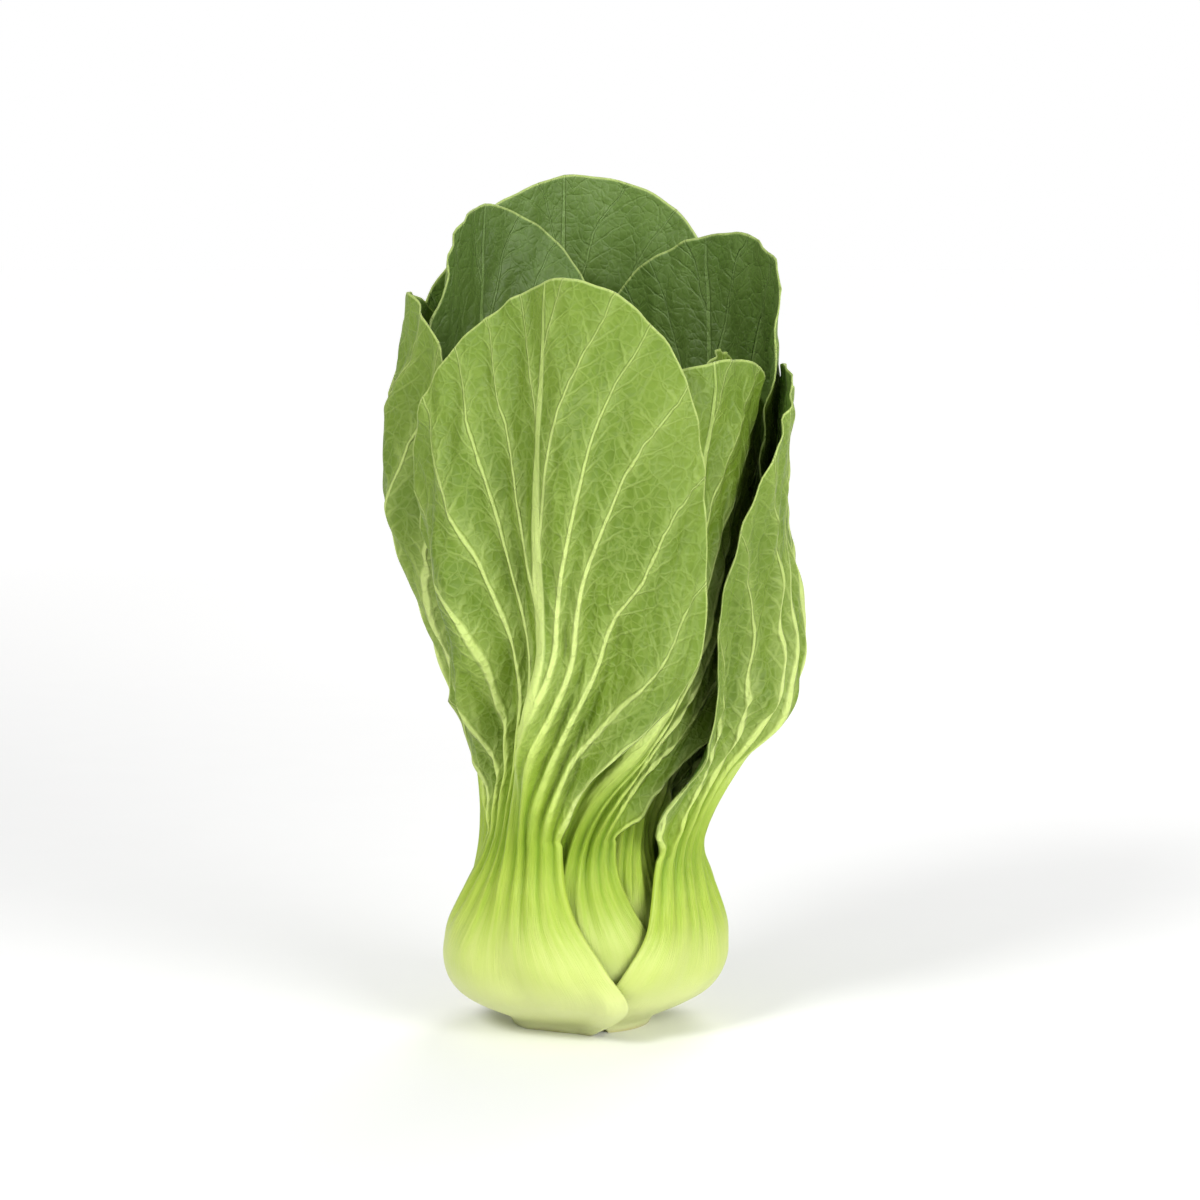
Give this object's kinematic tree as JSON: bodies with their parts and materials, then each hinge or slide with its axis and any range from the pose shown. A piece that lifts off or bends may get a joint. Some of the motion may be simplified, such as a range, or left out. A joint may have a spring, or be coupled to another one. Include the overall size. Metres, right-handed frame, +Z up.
{
  "type": "bok choy",
  "caption": "Head of bok choy standing on its cut base: thick pale stalks clasp a short stem and thin into ribbed, waved green blades.",
  "frame": {"origin": "middle of the flat cut base, which rests on the surface", "axes": "+Z up the head's axis from the cut base to the leaf tips, -Y towards the front, where the outermost leaf shows its back, +X to the right of it"},
  "size_m": [0.0986, 0.1017, 0.199],
  "materials": {
    "stem": "cut plant stem, pale and moist",
    "leaf": "fresh leaf: creamy green satin stalk, green softly glossy blade with pale veins"
  },
  "bodies": {
    "root": {"stem": "stem", "leaf_01": "leaf", "leaf_02": "leaf", "leaf_03": "leaf", "leaf_04": "leaf", "leaf_05": "leaf", "leaf_06": "leaf", "leaf_07": "leaf", "leaf_08": "leaf", "leaf_09": "leaf", "leaf_10": "leaf", "leaf_11": "leaf"}
  },
  "joints": []
}
